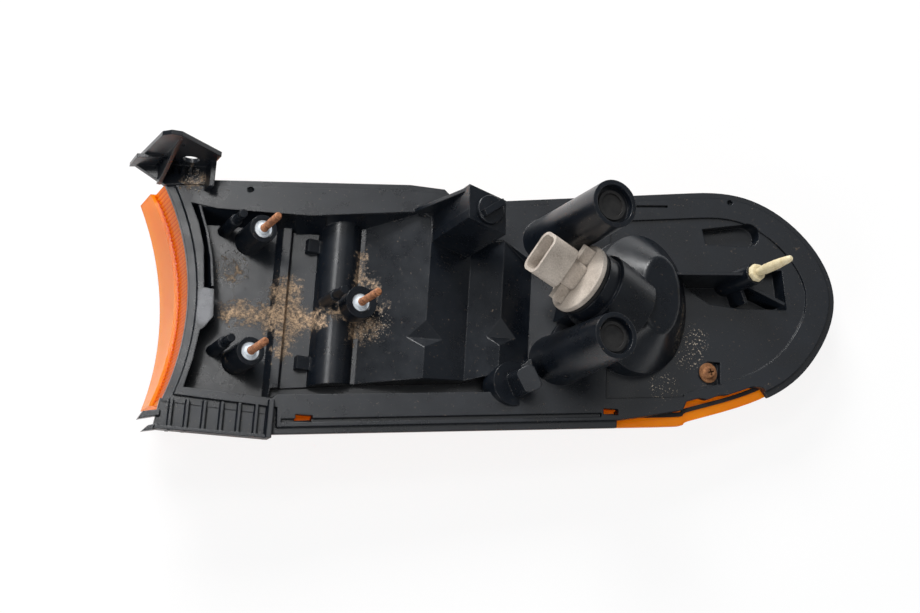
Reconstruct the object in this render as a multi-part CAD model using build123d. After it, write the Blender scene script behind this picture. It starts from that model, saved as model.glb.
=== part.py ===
from build123d import *
import math
import os

# Front turn signal lamp, built in the frame of its deck: x runs along the deck to the
# round end, y across it, z is the deck's normal. Plan points (u, v) are given square to
# the draw, the direction in which the mouldings leave their tools, and heights h are
# measured along the draw from the deck.

# Placing
DRAW_LEAN = 21.4          # lean of the draw from the deck's normal towards the round end, degrees
REST_FALL = 4.6           # fall of the deck towards the round end on the table, degrees
DECK_HEIGHT = 44.0        # deck above the table at the plan's origin

# Walls
DECK_T = 3.0              # deck thickness along the draw
WALL = 2.5                # moulded walls and floors
LIP_DROP = 2.2            # step from the deck down to the outer lip
LIP_DEPTH = 4.5           # lower face of the outer lip below the deck
LIP_WIDTH = 3.6           # visible width of the outer lip
LIP_SIDE = 8.6            # width of the lip's underside at the sides
LIP_LEFT = 4.0            # and at the concave edge
RUN = 0.3                 # clearance of what turns

# Deck outline, plan points
CORNER_TL = (-147.0, 57.6)
STEP_A = (-27.0, 65.4)
STEP_B = (-10.0, 64.4)
STEP_C = (-3.0, 57.4)
ROUND_END = [(113.0, 73.8), (142.4, 72.6), (171.0, 52.5), (184.5, 20.5),
             (175.5, -11.0), (151.0, -36.1), (114.0, -51.6), (66.0, -58.5)]
LOW_A = (-84.0, -73.5)
LOW_B = (-84.5, -63.5)
CORNER_BL = (-135.5, -60.5)
LEFT_MID = (-128.3, -6.0)

# Pan and stepped floor
PAN = [(-132.4, 45.1), (-119.6, 43.0), (-75.0, 43.0), (-21.7, 50.2), (-16.7, 47.6), (-15.2, 34.2),
       (5.6, 29.5), (8.0, 37.0), (19.7, 38.0), (36.5, 25.5), (46.0, 15.0), (50.0, 0.0), (42.0, -18.0),
       (30.0, -30.0), (16.5, -43.9), (-42.0, -49.5), (-83.5, -53.5), (-85.3, -55.4), (-126.5, -52.9),
       (-123.5, -38.0), (-121.8, -23.1), (-120.0, -21.2), (-116.1, -15.1), (-117.1, -0.7), (-122.0, -0.2),
       (-124.2, 21.7), (-127.8, 34.4)]
FLOOR = [(-160.0, -15.0), (-86.0, -15.0), (-83.5, -12.5), (-79.5, -12.5), (-77.5, -16.0), (-65.0, -16.0)]
HUMP = [(-65.0, -16.0), (-54.5, -7.0), (-45.0, -14.0)]
STEPS = [(-45.0, -14.0), (-43.0, -13.5), (-15.8, 0.0), (7.3, -8.7), (20.0, -0.3), (36.6, -6.5), (52.0, 1.0)]
TROUGH = [(-83.0, -47.5), (-38.0, -41.5), (8.0, -37.0), (22.0, -33.0), (30.0, -30.0), (16.5, -43.9),
          (-42.0, -49.5), (-83.5, -53.5)]
TROUGH_FLOOR = -17.5
SLIT_WALL = [(-129.2, 45.4), (-124.0, 30.4), (-120.6, 16.1), (-118.6, 1.0)]
SLIT_WALL_T = 1.4
PAN_DRAFT_FOOT = 6.0      # how far the upper wall's foot comes in over its depth
NOTCHES = [(-32.0, 3.0, -8.6, -17.5, -22.9), (9.5, 34.0, -3.0, -14.0, -19.5)]
NOTCH_DEPTH = 3.7

# Studs and the locating posts beside them: u, v, collar height, boss radius, boss foot
STUDS = {"stud_upper": (-99.4, 30.8, 9.0, 7.2, -16.0),
         "stud_lower": (-99.9, -34.2, 9.0, 7.2, -16.0),
         "stud_middle": (-47.4, -1.9, 0.0, 8.5, -15.5)}
STUD_R = 2.0
STUD_REACH = 24.0
STUD_NECK = 1.6
STUD_POINT = 0.8
COLLAR_R = 5.0
BOSS_RIM = 0.6            # boss above the collar
COLLAR_T = 2.4
STUD_ROOT_R = 2.6
STUD_ROOT = 6.0
SCOOPS = [(-68.0, 30.5), (-68.5, -33.0)]
SCOOP_SIDE = 7.0
SCOOP_FOOT = -17.0
SCOOP_TOP = -12.0
POSTS = [(-111.7, 35.5, 18.0), (-111.0, -29.6, 16.0), (-61.4, -0.6, 18.0)]
POST_R = 3.2
POST_TIP_R = 2.1
POST_TIP = 12.0
POST_FOOT = -17.0

# Block with its quarter-turn plug, corners in plan and the top's level along the draw
BLOCK = [(-15.2, 34.2), (5.6, 29.5), (5.0, 47.5), (-15.8, 52.0)]
BLOCK_FRONT = [(5.4, 34.5), (-15.5, 39.2)]
BLOCK_TOP = 37.0
BLOCK_FOOT = -14.0
BLOCK_GUSSET = (-25.0, -15.0)
BLOCK_GUSSET_AT = 51.6
GUSSET_T = 2.0
PLUG_AT = (-4.0, 40.5)
PLUG_R = 7.4
PLUG_T = 2.0
PLUG_NECK_R = 4.6
PLUG_LUG_R = 5.7
PLUG_LUG_T = 1.8
PLUG_LUG_W = 2.6
PLUG_BAR = (13.0, 3.4, 6.0)
PLUG_BAR_TURN = 38.0

# Dome over the bulb, and the bulb holder's axis in plan and draw coordinates
DOME_AT = (84.0, 7.0)
DOME_SEMI = (28.0, 37.0)
DOME_TOP = 60.0
DOME_SLOPE = (17.0, 20.0)  # crown's sloping side, inwards and down
DOME_ROUND = 3.0
HOLDER_AT = (41.8, 9.9, 49.4)
HOLDER_AXIS = (-0.94, 0.285, 0.184)
HOLDER_ACROSS = (0.41, 0.783, 0.466)
DISC_R = 18.4
DISC_T = 3.0
NECK_R = 13.6
GASKET_R = 17.2
GASKET_T = 2.6
COLLAR_RING_R = 17.8
COLLAR_BASE_R = 20.0
COLLAR_FLANGE = 5.0
COLLAR_LENGTH = 30.0
COLLAR_STEP = 7.0
COLLAR_WEB = [(46.0, -4.0), (62.0, -10.0), (66.0, 16.0), (50.0, 22.0)]
COLLAR_WEB_TOP = 14.0
NECK_END = 1.5            # neck beyond the lugs
LUG_R = 15.6
LUG_T = 2.4
LUG_SPAN = 9.0
LUGS = 3
UNLOCK = 40.0             # turn that brings the lugs to the collar's slots, degrees
SHROUD = (22.0, 15.0, 27.0)
STEM = (14.0, 9.0, 12.0)   # slimmer stem that carries the shroud
STEM_ROUND = 3.0
SHROUD_WALL = 1.8
SHROUD_DEPTH = 14.0
SHROUD_ROUND = 5.0
SHROUD_KEY = (5.0, 2.4, 12.0)
BLADE = (2.8, 0.8)
BLADE_PITCH = 8.0
BLADE_REACH = 9.0
BLADE_ROOT = 6.0
FIN = (9.5, 3.6, 6.5)
FIN_AT = 10.8
BULB_R = 9.0
BULB_BASE_R = 7.6
BULB_BASE = 7.0
BULB_SEAT = 4.0           # base inside the holder's neck
BULB_LENGTH = 27.0

# Tall tubes: plan point, height, radius at the end, radius at the foot
TUBES = {"breather_upper": (41.6, 39.6, 66.0, 12.2, 12.8),
         "breather_lower": (49.3, -24.0, 55.0, 11.6, 14.0)}
TUBE_WALL = 2.4
CORE_R = 7.6
CORE_SEAT = 4.0           # core's face below the tube's end
CORE_T = 8.0

# D-shaped boss, right end's clip boss, slots and holes
D_BOSS = [(22.1, -35.7), (29.9, -30.3), (35.6, -42.5), (28.0, -46.9)]
D_BOSS_TOP = 14.0
D_BOSS_AXIS = (27.0, -38.9)
D_BOSS_BASE = 1.5
D_BOSS_BASE_R = 11.5
CLIP_AT = (133.9, 25.0)
CLIP_BOSS_R = 5.6
CLIP_TOP = 18.0
CLIP_FLANGE_R = 5.0
CLIP_FLANGE_T = 2.6
CLIP_PIN_R = 2.6
CLIP_PIN = 16.0
CLIP_TIP = 11.0
CLIP_TIP_R = 1.6
CLIP_ROOT_R = 2.4
CLIP_ROOT = 9.0
CLIP_RIBS = [(157.0, 14.0), (138.0, 13.0)]
CLIP_RIB_TOP = 3.0
CLIP_WEB_END = (92.0, 21.7)  # web from the clip's boss to the dome
CLIP_WEB_TOP = 16.5
RIB_T = 1.6
POCKET = [(104.0, 26.9), (135.0, 30.2), (157.9, 33.8), (160.5, 12.1), (136.4, 10.9), (122.1, 12.1),
          (113.0, 18.0)]
POCKET_DEPTH = 9.5
TEARDROP_END = (140.2, 51.8)
TEARDROP_R = 6.4
TEARDROP_TAIL = [(118.0, 53.4), (120.0, 45.0)]
TEARDROP_DEPTH = 7.5
DISH_INSET = 15.0
DISH_DEPTH = 1.2
DISH_FROM = 72.0
SMALL_HOLES = [(31.3, 38.1, 2.0), (-104.8, 54.8, 1.6), (131.3, 69.4, 1.4)]
UPPER_SLIT = [(84.0, 62.2), (100.0, 63.6), (100.0, 64.8), (84.0, 63.4)]
LOW_GROOVE = [(-80.0, -67.6), (70.0, -52.6), (70.0, -50.6), (-80.0, -65.6)]
LOW_SLOTS = [(-69.6, -64.4, 8.0, 3.4), (74.5, -49.6, 7.0, 3.0)]
FRACTURE = [(78.0, -70.0), (78.5, -53.6), (90.0, -51.0), (109.0, -46.0), (110.8, -41.4), (117.2, -39.0),
            (121.0, -39.6), (126.8, -36.8), (131.0, -36.2), (136.6, -33.8), (143.2, -30.8), (148.5, -31.2),
            (152.0, -36.0), (158.0, -44.0)]

# Lens screw
SCREW_AT = (121.5, -25.2)
SCREW_SEAT = -1.5
SCREW_SHANK_R = 2.0
SCREW_CLEAR = 0.4
SCREW_LENGTH = 17.0
SCREW_WASHER_R = 5.2
SCREW_WASHER_T = 1.0
SCREW_HEAD_R = 3.4
SCREW_HEAD_T = 2.2
SCREW_POCKET = 12.0
SCREW_BOSS_R = 4.6
SCREW_RECESS = (3.6, 0.9, 1.4)
SCREW_HEAD_DRAFT = 0.9

# Brackets
UL_BACK = 68.0            # outer face of the upper bracket's wall
UL_T = 2.4
UL_WALL = [(-161.0, -3.0), (-158.6, 40.0), (-155.0, 43.0), (-150.0, 42.0), (-124.8, 17.0), (-124.8, -3.0)]
UL_FLOOR = [(-161.5, 63.8), (-146.0, 53.8), (-124.8, 56.0), (-124.8, 68.0), (-161.5, 68.0)]
UL_HOLE = (-137.0, 8.5)
UL_HOLE_R = 4.4
UL_SIDE = (-127.2, -124.8)
UL_GUSSET_AT = -150.0
UL_GUSSET = (54.0, 3.0, 41.0)   # foot's place across the lamp, its height, the tip's height
UL_HOOK = [(-163.5, 63.2), (-151.5, 64.2), (-151.5, 66.2), (-163.5, 65.4)]
UL_HOOK_TOP = 12.0
UL_GAP = [(-149.6, 61.6), (-147.0, 61.6), (-147.0, 65.0), (-149.6, 65.0)]
UL_COMB = [-143.5, -140.0, -136.5, -133.0]
LL_SHELF = [(-138.0, -75.0), (-84.6, -76.0), (-84.6, -62.0), (-136.0, -59.0)]
LL_RIBS = [-132.0, -124.5, -116.5, -108.5, -100.5, -92.5]
LL_RIB_T = 1.5
LL_RAIL_T = 1.8
LL_END = (-87.0, -84.6)
LL_PRONGS = [[(-145.5, -70.5), (-136.0, -68.0), (-136.0, -65.0), (-143.5, -66.5)],
             [(-143.0, -76.5), (-136.0, -75.0), (-136.0, -72.0), (-140.5, -73.5)]]

# Lens
LENS_R_LONG = 1300.0      # front's curve along the lamp
LENS_R_CROSS = 190.0      # front's curve across the lamp
LENS_LOW = (-20.0, 6.0)   # where the front touches the table, along and across
LENS_T = 2.6
LENS_CORNER_IN = 1.6     # side walls near the left edge
LENS_SIDE_IN = 8.0
LENS_LEFT_IN = 1.2
LENS_FLANGE_IN = 0.8
FLANGE_LEFT_IN = 0.6      # rim flange behind the flutes' valleys
FLANGE_T = 3.0
FLUTES = 58
FLUTE_H = 0.9
FLUTE_BAND = 24.0         # depth of the fluted band below the deck's edge
SHOULDER = 2.4            # how far the smooth strip stands out below the flutes
SEAL_T = 1.5
SEAL_SIDE = (5.4, 7.6)     # seal's outer and inner edge at the sides
SEAL_LEFT = (1.4, 3.0)     # and at the concave edge

SIN = math.sin(math.radians(DRAW_LEAN))
COS = math.cos(math.radians(DRAW_LEAN))
TAN = SIN / COS
DRAW_DIR = Vector(SIN, 0, COS)
DRAW = Plane(origin=(0, 0, 0), x_dir=(COS, 0, -SIN), z_dir=(SIN, 0, COS))
BIG = 400.0


def deck_pt(point):
    """A plan point carried along the draw onto the deck."""
    return (point[0] / COS, point[1])


def face_of(points):
    """A flat face on the deck from plan points."""
    return make_face(Polyline(*[deck_pt(p) for p in points], close=True))


def layer(face, low, high):
    """A deck face drawn out along the draw between two heights."""
    return extrude(face.moved(Location(DRAW_DIR * low)), amount=high - low, dir=DRAW_DIR)


def level(u, h):
    """Position along the draw of height h over the deck at plan position u."""
    return u * TAN + h


def rod(u, v, low, high, radius, top_radius=None):
    """A round bar along the draw, heights over the deck at its own axis."""
    at = DRAW * Pos(u, v, level(u, low))
    align = (Align.CENTER, Align.CENTER, Align.MIN)
    if top_radius is None:
        return at * Cylinder(radius, high - low, align=align)
    return at * Cone(radius, top_radius, high - low, align=align)


def side_pt(u, h):
    """The deck-frame (x, z) of plan position u at height h."""
    return (u / COS + h * SIN, h * COS)


def across(points, v0, v1):
    """A profile of (u, h) points drawn out across the lamp."""
    wire = Polyline(*[side_pt(u, h) for u, h in points], close=True)
    face = Plane.XZ * make_face(wire)
    return extrude(face.moved(Location((0, v0, 0))), amount=v1 - v0, dir=(0, 1, 0))


def moved_in(points, insets):
    """Plan points of an open run moved to the right-hand side of its direction."""
    out = []
    for i, (u, v) in enumerate(points):
        a = points[max(i - 1, 0)]
        b = points[min(i + 1, len(points) - 1)]
        length = math.hypot(b[0] - a[0], b[1] - a[1])
        out.append((u + (b[1] - a[1]) / length * insets[i], v - (b[0] - a[0]) / length * insets[i]))
    return out


def left_circle():
    """Centre and radius of the concave left edge, in plan."""
    (x1, y1), (x2, y2), (x3, y3) = CORNER_TL, LEFT_MID, CORNER_BL
    d = 2 * (x1 * (y2 - y3) + x2 * (y3 - y1) + x3 * (y1 - y2))
    s1, s2, s3 = x1 * x1 + y1 * y1, x2 * x2 + y2 * y2, x3 * x3 + y3 * y3
    cx = (s1 * (y2 - y3) + s2 * (y3 - y1) + s3 * (y1 - y2)) / d
    cy = (s1 * (x3 - x2) + s2 * (x1 - x3) + s3 * (x2 - x1)) / d
    return cx, cy, math.hypot(x1 - cx, y1 - cy)


def ring(left, side, corner=None, teeth=0):
    """The deck's outline moved in by left at the concave edge, by corner next to it, else by side."""
    stepped = corner is None
    corner = side if corner is None else corner
    cx, cy, radius = left_circle()
    top_v = CORNER_TL[1] - corner
    low_v = CORNER_BL[1] + corner

    def on_left(v, more=0.0):
        r = radius + left + more
        return (cx + math.sqrt(r * r - (v - cy) ** 2), v)

    top_left = on_left(top_v)
    low_left = on_left(low_v)
    run = moved_in(ROUND_END, [side] * len(ROUND_END))
    top = [top_left]
    if stepped:
        top.append((STEP_A[0], STEP_A[1] - side))
        top.append((STEP_B[0], STEP_B[1] - side))
    else:
        top.append((STEP_B[0] - 0.75 * side, STEP_B[1] - side))
    top += [(STEP_C[0] - 0.4 * side, STEP_C[1] - side), run[0]]
    low = [run[-1], (LOW_A[0] + 0.6 * side, LOW_A[1] + side)]
    low += [(LOW_B[0] + 0.6 * side, LOW_B[1] + corner), low_left]
    edges = [Polyline(*[deck_pt(p) for p in top])]
    edges.append(Spline(*[deck_pt(p) for p in run], tangents=[(1, 0.137), (-1, -0.093)]))
    edges.append(Polyline(*[deck_pt(p) for p in low]))
    if teeth:
        step = (top_v - low_v) / teeth
        pts = [low_left]
        for i in range(teeth):
            pts.append(on_left(low_v + (i + 0.5) * step, -FLUTE_H))
            pts.append(on_left(low_v + (i + 1.0) * step))
        edges.append(Polyline(*[deck_pt(p) for p in pts]))
    else:
        steps = 12
        pts = [on_left(low_v + (top_v - low_v) * i / steps) for i in range(steps + 1)]
        edges.append(Spline(*[deck_pt(p) for p in pts]))
    return make_face(edges)


def grown(points, amount):
    """A plan polygon's face moved out by amount."""
    return offset(face_of(points), amount=amount, kind=Kind.INTERSECTION)


def holder_plane(shift=0.0):
    """Plane square to the bulb holder's axis, shift millimetres out along it."""
    axis = Vector(*HOLDER_AXIS).normalized()
    across_dir = Vector(*HOLDER_ACROSS)
    across_dir = (across_dir - axis * across_dir.dot(axis)).normalized()
    local = Plane(origin=Vector(*HOLDER_AT) + axis * shift, x_dir=across_dir, z_dir=axis)
    return DRAW * local.location


def bar_out(low, high, radius):
    """A round bar on the bulb holder's axis."""
    return holder_plane(low) * Cylinder(radius, high - low, align=(Align.CENTER, Align.CENTER, Align.MIN))


def build_housing():
    """The black moulding."""
    body = layer(ring(LIP_WIDTH, LIP_WIDTH), -DECK_T, 0)
    lip = layer(ring(0, 0), -LIP_DEPTH, -LIP_DROP)
    lip -= layer(ring(LIP_LEFT, LIP_SIDE, LIP_LEFT), -BIG / 4, BIG / 4)
    body += lip
    dish = ring(DISH_INSET, DISH_INSET)
    dish = dish & face_of([(DISH_FROM, -90), (220, -90), (220, 90), (DISH_FROM, 90)])
    body -= layer(dish, -DISH_DEPTH, 5)

    # Pan and stepped floor: walls along the draw, floor drawn across the lamp
    hump = ThreePointArc(*[side_pt(u, h) for u, h in HUMP])
    wire = [Polyline(*[side_pt(u, h) for u, h in FLOOR]), hump, Polyline(*[side_pt(u, h) for u, h in STEPS])]
    first = side_pt(*FLOOR[0])
    last = side_pt(*STEPS[-1])
    wire.append(Polyline(last, (last[0], 30), (first[0], 30), first))
    above = extrude((Plane.XZ * make_face(wire)).moved(Location((0, -90, 0))), amount=180, dir=(0, 1, 0))
    above_floor = above.moved(Location((0, 0, -WALL)))
    pan_outer = layer(grown(PAN, WALL), -40, 0) & above_floor
    pan_outer += layer(grown(TROUGH, WALL), TROUGH_FLOOR - WALL, 0)
    for u0, u1, va, vb, vc in NOTCHES:
        deep = NOTCH_DEPTH + WALL
        keel = [(va + 2, 0), (vb, -deep * COS), (vc - 2, 0)]
        pan_outer += keel_bar(keel, u0, u1)
    cut = (layer(face_of(PAN), -40, 20) & above) + layer(face_of(TROUGH), TROUGH_FLOOR, 20)
    for u0, u1, va, vb, vc in NOTCHES:
        rise = 4.0
        grow_a = va + (va - vb) * rise / NOTCH_DEPTH
        grow_c = vc + (vc - vb) * rise / NOTCH_DEPTH
        cut += keel_bar([(grow_a, rise * COS), (vb, -NOTCH_DEPTH * COS), (grow_c, rise * COS)], u0, u1)
    body -= layer(face_of(PAN), -40, 20)
    body += pan_outer
    body -= cut

    # Upper wall's draft, the slit's wall and the stud bosses
    for a, b in (((-119.6, 43.0), (-75.0, 43.0)), ((-75.0, 43.0), (-21.7, 50.2))):
        body += draft_wedge(a, b) & layer(grown(PAN, WALL), -18, 0)
    wall = [SLIT_WALL[0], SLIT_WALL[1], SLIT_WALL[2], SLIT_WALL[3]]
    wall += [(u + SLIT_WALL_T, v) for u, v in reversed(SLIT_WALL)]
    body += layer(face_of(wall), -16.5, -0.8)
    for u, v, collar, boss_r, foot in STUDS.values():
        body += rod(u, v, foot, collar + BOSS_RIM, boss_r)
        body -= rod(u, v, collar - COLLAR_T, collar + 5, COLLAR_R)
        body -= rod(u, v, collar - COLLAR_T - STUD_ROOT, collar, STUD_ROOT_R)
    for u, v in SCOOPS:
        body += draw_box((u, v), SCOOP_SIDE, SCOOP_FOOT, SCOOP_TOP)
    for u, v, tip in POSTS:
        body += rod(u, v, POST_FOOT, tip - POST_TIP, POST_R)
        body += rod(u, v, tip - POST_TIP - 1, tip, POST_TIP_R + 0.3, POST_TIP_R)
    return body


def keel_bar(section, u0, u1):
    """A three-sided bar along the deck from (v, z) corners."""
    plane = Plane(origin=(u0 / COS, 0, 0), x_dir=(0, 1, 0), z_dir=(1, 0, 0))
    return extrude(plane * make_face(Polyline(*section, close=True)), amount=(u1 - u0) / COS)


def draft_wedge(a, b):
    """The sloping foot of the pan's upper wall between two of its corners."""
    p, q = Vector(*deck_pt(a), 0), Vector(*deck_pt(b), 0)
    along = (q - p).normalized()
    plane = Plane(origin=p - along * 8, x_dir=(-along.Y, along.X, 0), z_dir=along)
    depth = -17.5
    section = Polyline((0.8, 0.0), (0.8, depth), (-PAN_DRAFT_FOOT, depth), close=True)
    return extrude(plane * make_face(section), amount=(q - p).length + 16)


def add_tower(body):
    """Block, tubes, dome and the bulb holder's collar on the deck."""
    outline = make_face(Polyline(*BLOCK, close=True))
    inner = offset(outline, amount=-WALL, kind=Kind.INTERSECTION)
    over_deck = across([(-60, -DECK_T), (200, -DECK_T), (200, 90), (-60, 90)], -90, 90)
    body += (DRAW * Pos(0, 0, BLOCK_FOOT) * extrude(outline, BLOCK_TOP - BLOCK_FOOT)) & over_deck
    front = make_face(Polyline(BLOCK[0], BLOCK[1], BLOCK_FRONT[0], BLOCK_FRONT[1], close=True))
    body += DRAW * Pos(0, 0, BLOCK_FOOT) * extrude(front, BLOCK_TOP - BLOCK_FOOT)
    tip, root = BLOCK_GUSSET
    gusset = [(tip, level(tip, -1)), (root, level(root, -1)), (root, BLOCK_TOP - 1)]
    plate = Plane.XZ * make_face(Polyline(*gusset, close=True))
    body += DRAW * Pos(0, BLOCK_GUSSET_AT, 0) * extrude(plate, amount=GUSSET_T)
    body -= DRAW * Pos(0, 0, BLOCK_FOOT - 30) * extrude(inner, BLOCK_TOP - WALL - BLOCK_FOOT + 30)

    # Dome: a hollow oval with a sloping crown, open to the lens below
    low = level(DOME_AT[0] - DOME_SEMI[0], -DECK_T)
    at = DRAW * Pos(DOME_AT[0], DOME_AT[1], low)
    outside = crown(0, DOME_TOP - low)
    outside = fillet(outside.edges().group_by(Axis.Z)[-1], DOME_ROUND)
    body += (at * outside) & over_deck
    start = -DISC_T / 2 - GASKET_T - RUN
    body += bar_out(start - COLLAR_STEP, start, COLLAR_RING_R)
    body += bar_out(start - COLLAR_LENGTH, start - COLLAR_STEP, COLLAR_BASE_R) & over_deck
    body += layer(face_of(COLLAR_WEB), -DECK_T, COLLAR_WEB_TOP)
    body -= dome_space()
    body -= bar_out(start - COLLAR_LENGTH - 8, start - COLLAR_FLANGE, LUG_R + 2 * RUN)
    body -= bar_out(start - COLLAR_FLANGE - 1, start + 1, NECK_R + RUN)
    for i in range(LUGS):
        slot = Pos(0, 0, start - COLLAR_FLANGE - 1) * Rot(0, 0, i * 360 / LUGS + 30 + UNLOCK)
        slot = holder_plane() * slot * Pos(LUG_R / 2, 0, 0)
        body -= slot * Box(LUG_R + 2 * RUN, LUG_SPAN + 1.0, COLLAR_FLANGE + 2,
                           align=(Align.CENTER, Align.CENTER, Align.MIN))

    # Tall tubes with a seat for their cores
    for u, v, tall, end_r, foot_r in TUBES.values():
        tube = rod(u, v, -8, tall, foot_r, end_r)
        body += tube & over_deck
        body -= rod(u, v, tall - CORE_SEAT - CORE_T, tall + 1, CORE_R)
        body -= rod(u, v, tall - CORE_SEAT, tall + 1, end_r - TUBE_WALL)
        inside = tall - CORE_SEAT - CORE_T - WALL
        body -= rod(u, v, -12, inside, foot_r - 2 * TUBE_WALL, end_r - 1.6 * TUBE_WALL)
    return body


def add_right_end(body):
    """D-boss, clip pocket, teardrop, screw seat and the small cuts of the deck."""
    body += rod(*D_BOSS_AXIS, -11, D_BOSS_BASE, D_BOSS_BASE_R)
    body += layer(fillet(face_of(D_BOSS).vertices(), 3.0), -DECK_T - 8, D_BOSS_TOP)
    pocket = face_of(POCKET)
    around = offset(pocket, amount=WALL, kind=Kind.INTERSECTION)
    body += layer(around, -POCKET_DEPTH - WALL, -DISH_DEPTH - 0.4)
    body -= layer(pocket, -POCKET_DEPTH, 20) - dome_keep()
    body += rod(*CLIP_AT, -POCKET_DEPTH - 1, CLIP_TOP, CLIP_BOSS_R)
    for end in CLIP_RIBS:
        body += rib(CLIP_AT, end, -POCKET_DEPTH - 1, CLIP_RIB_TOP)
    body += rib(CLIP_AT, CLIP_WEB_END, -POCKET_DEPTH - 1, CLIP_WEB_TOP) - dome_space()
    body -= rod(*CLIP_AT, CLIP_TOP - CLIP_ROOT, CLIP_TOP + 5, CLIP_ROOT_R)

    drop = teardrop()
    cup = offset(drop, amount=WALL, kind=Kind.INTERSECTION)
    body += layer(cup, -TEARDROP_DEPTH - WALL, -2)
    body -= layer(drop, -TEARDROP_DEPTH, 20)

    half = SCREW_POCKET / 2
    seat = [(SCREW_AT[0] - half, SCREW_AT[1] - half), (SCREW_AT[0] + half, SCREW_AT[1] - half),
            (SCREW_AT[0] + half, SCREW_AT[1] + half), (SCREW_AT[0] - half, SCREW_AT[1] + half)]
    body += layer(grown(seat, 1.5), SCREW_SEAT - DECK_T - 2.5, -DISH_DEPTH - 0.5)
    body -= rod(*SCREW_AT, SCREW_SEAT - DECK_T - 9, SCREW_SEAT - DECK_T, SCREW_BOSS_R + RUN)
    body -= draw_box(SCREW_AT, SCREW_POCKET, SCREW_SEAT, 12.0)
    body -= rod(*SCREW_AT, SCREW_SEAT - 10, 10, SCREW_SHANK_R + SCREW_CLEAR)
    for u, v, r in SMALL_HOLES:
        body -= rod(u, v, -2.0, 5, r)
    body -= layer(face_of(UPPER_SLIT), -1.6, 5)
    body -= layer(face_of(LOW_GROOVE), -1.8, 5)
    for u, v, wide, deep in LOW_SLOTS:
        slot = [(u - wide / 2, v - deep / 2), (u + wide / 2, v - deep / 2), (u + wide / 2, v + deep / 2),
                (u - wide / 2, v + deep / 2)]
        body -= layer(face_of(slot), -DECK_T - 3, 5)
    body -= layer(face_of(FRACTURE + [(158.0, -70.0)]), -LIP_DEPTH - 1, 5)
    return body


def teardrop():
    """The outline of the recess near the round end."""
    turns = [math.radians(90 - 15 * i) for i in range(13)]
    u, v = TEARDROP_END
    arc = [(u + TEARDROP_R * math.cos(a), v + TEARDROP_R * math.sin(a)) for a in turns]
    return face_of([TEARDROP_TAIL[0]] + arc + [TEARDROP_TAIL[1]])


def draw_box(at, side, low, high):
    """A square box along the draw whose floor lies square to the draw."""
    place = DRAW * Pos(at[0], at[1], level(at[0], low))
    return place * Box(side, side, high - low, align=(Align.CENTER, Align.CENTER, Align.MIN))


def crown(inset, height):
    """The dome's upright oval wall and the sloping crown on it."""
    semi_u, semi_v = DOME_SEMI[0] - inset, DOME_SEMI[1] - inset
    inwards, down = DOME_SLOPE
    foot = extrude(Ellipse(semi_u, semi_v), height - down)
    rim = Pos(0, 0, height - down) * Ellipse(semi_u, semi_v)
    top = Pos(0, 0, height) * Ellipse(semi_u - inwards, semi_v - inwards)
    return foot + loft([rim, top], ruled=True)


def dome_space():
    """The hollow inside the dome, open downwards."""
    low = level(DOME_AT[0] - DOME_SEMI[0], -DECK_T)
    at = DRAW * Pos(DOME_AT[0], DOME_AT[1], low)
    open_end = Pos(0, 0, -40) * extrude(Ellipse(DOME_SEMI[0] - WALL, DOME_SEMI[1] - WALL), 41)
    return at * (crown(WALL, DOME_TOP - low - WALL) + open_end)


def dome_keep():
    """The dome's own space, kept out of the pocket's cut."""
    at = DRAW * Pos(DOME_AT[0], DOME_AT[1], -20)
    return at * extrude(Ellipse(*DOME_SEMI), 140)


def rib(a, b, low, high):
    """A thin wall along the draw between two plan points."""
    length = math.hypot(b[0] - a[0], b[1] - a[1])
    half = RIB_T / 2
    n = (-(b[1] - a[1]) / length * half, (b[0] - a[0]) / length * half)
    corners = [(a[0] + n[0], a[1] + n[1]), (b[0] + n[0], b[1] + n[1]),
               (b[0] - n[0], b[1] - n[1]), (a[0] - n[0], a[1] - n[1])]
    return layer(face_of(corners), low, high)


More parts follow.
